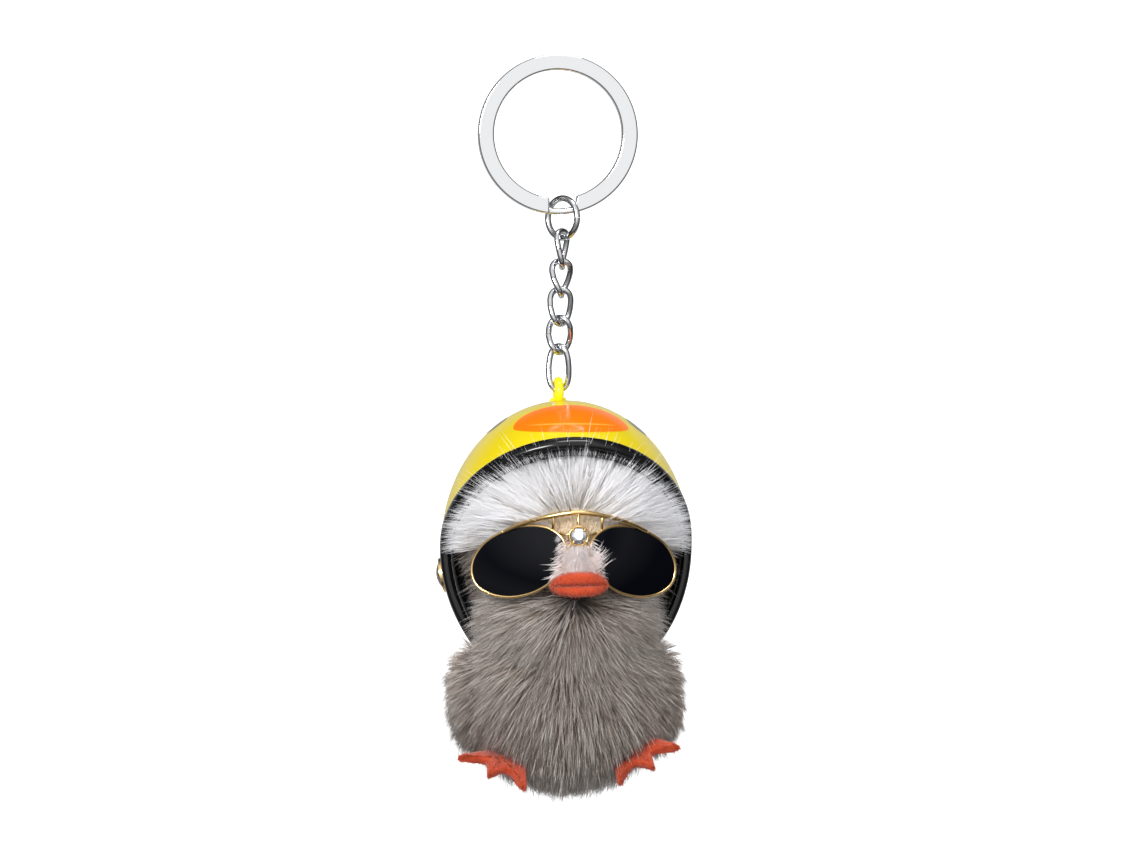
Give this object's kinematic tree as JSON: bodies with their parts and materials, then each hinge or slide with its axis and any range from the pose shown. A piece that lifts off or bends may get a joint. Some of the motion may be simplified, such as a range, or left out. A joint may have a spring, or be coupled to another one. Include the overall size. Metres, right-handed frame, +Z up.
{
  "type": "plush keychain",
  "caption": "Flat split ring and short twisted-link chain carrying a small furry duck in a glossy riding helmet and aviator sunglasses.",
  "frame": {"origin": "hang point: inside top of the split ring, where a hook or finger carries the keychain", "axes": "+Z up along the hanging keychain, -Y the way the duck's face looks, +X the duck's left"},
  "size_m": [0.0476, 0.0557, 0.1373],
  "materials": {
    "ring_steel": "polished",
    "chain_steel": "polished",
    "eye_yellow": "gloss",
    "helmet_yellow": "gloss",
    "liner_black": "matte",
    "trim_black": "gloss",
    "rivet_dark": "polished",
    "gold": "polished",
    "stuffing": "matte",
    "fur_white": "matte",
    "fur_grey": "matte",
    "felt_orange": "matte",
    "lens_black": "gloss",
    "stone_clear": "gloss"
  },
  "bodies": {
    "key_ring": {"split_ring": "ring_steel"},
    "jump_ring_body": {"jump_ring": "ring_steel"},
    "link_1": {"chain_link_1": "chain_steel"},
    "link_2": {"chain_link_2": "chain_steel"},
    "link_3": {"chain_link_3": "chain_steel"},
    "link_4": {"chain_link_4": "chain_steel"},
    "link_5": {"chain_link_5": "chain_steel"},
    "duck": {"hanging_eye": "eye_yellow", "hanging_eye_nut": "chain_steel", "helmet_shell": "helmet_yellow", "helmet_liner": "liner_black", "edge_trim": "trim_black", "rivet_cap_left": "rivet_dark", "rivet_cap_right": "rivet_dark", "rivet_washer_left": "gold", "rivet_washer_right": "gold", "rivet_back_left": "rivet_dark", "rivet_back_right": "rivet_dark", "head_core": "stuffing", "body_core": "stuffing", "head_plush": "fur_white", "body_plush": "fur_grey", "wing_left": "fur_grey", "wing_right": "fur_grey", "foot_left": "felt_orange", "foot_right": "felt_orange", "beak_upper": "felt_orange", "beak_lower": "felt_orange", "glasses_frame": "gold", "lens_left": "lens_black", "lens_right": "lens_black", "rhinestone": "stone_clear"}
  },
  "joints": [
    {"name": "key_ring_swing", "type": "hinge", "parent": "key_ring", "child": "jump_ring_body", "pos_m": [0.0009, 0, -0.0256], "axis": [1, 0, 0], "range_deg": [-30, 30]},
    {"name": "link_1_swing", "type": "hinge", "parent": "jump_ring_body", "child": "link_1", "pos_m": [0.0009, 0, -0.03135], "axis": [0.6691, -0.7431, 0], "range_deg": [-60, 60]},
    {"name": "link_2_swing", "type": "hinge", "parent": "link_1", "child": "link_2", "pos_m": [0.0008, 0, -0.03692], "axis": [0, 1, 0], "range_deg": [-60, 60]},
    {"name": "link_3_swing", "type": "hinge", "parent": "link_2", "child": "link_3", "pos_m": [0.0005, 0, -0.04093], "axis": [0.9962, -0.0872, 0], "range_deg": [-60, 60]},
    {"name": "link_4_swing", "type": "hinge", "parent": "link_3", "child": "link_4", "pos_m": [0.0005, 0, -0.04752], "axis": [-0.6428, -0.766, 0], "range_deg": [-60, 60]},
    {"name": "link_5_swing", "type": "hinge", "parent": "link_4", "child": "link_5", "pos_m": [0.0002, 0, -0.05153], "axis": [0.766, -0.6428, 0], "range_deg": [-50, 50]},
    {"name": "duck_swing", "type": "hinge", "parent": "link_5", "child": "duck", "pos_m": [0.0002, 0, -0.05973], "axis": [-1, 0, 0], "range_deg": [-60, 60]}
  ]
}
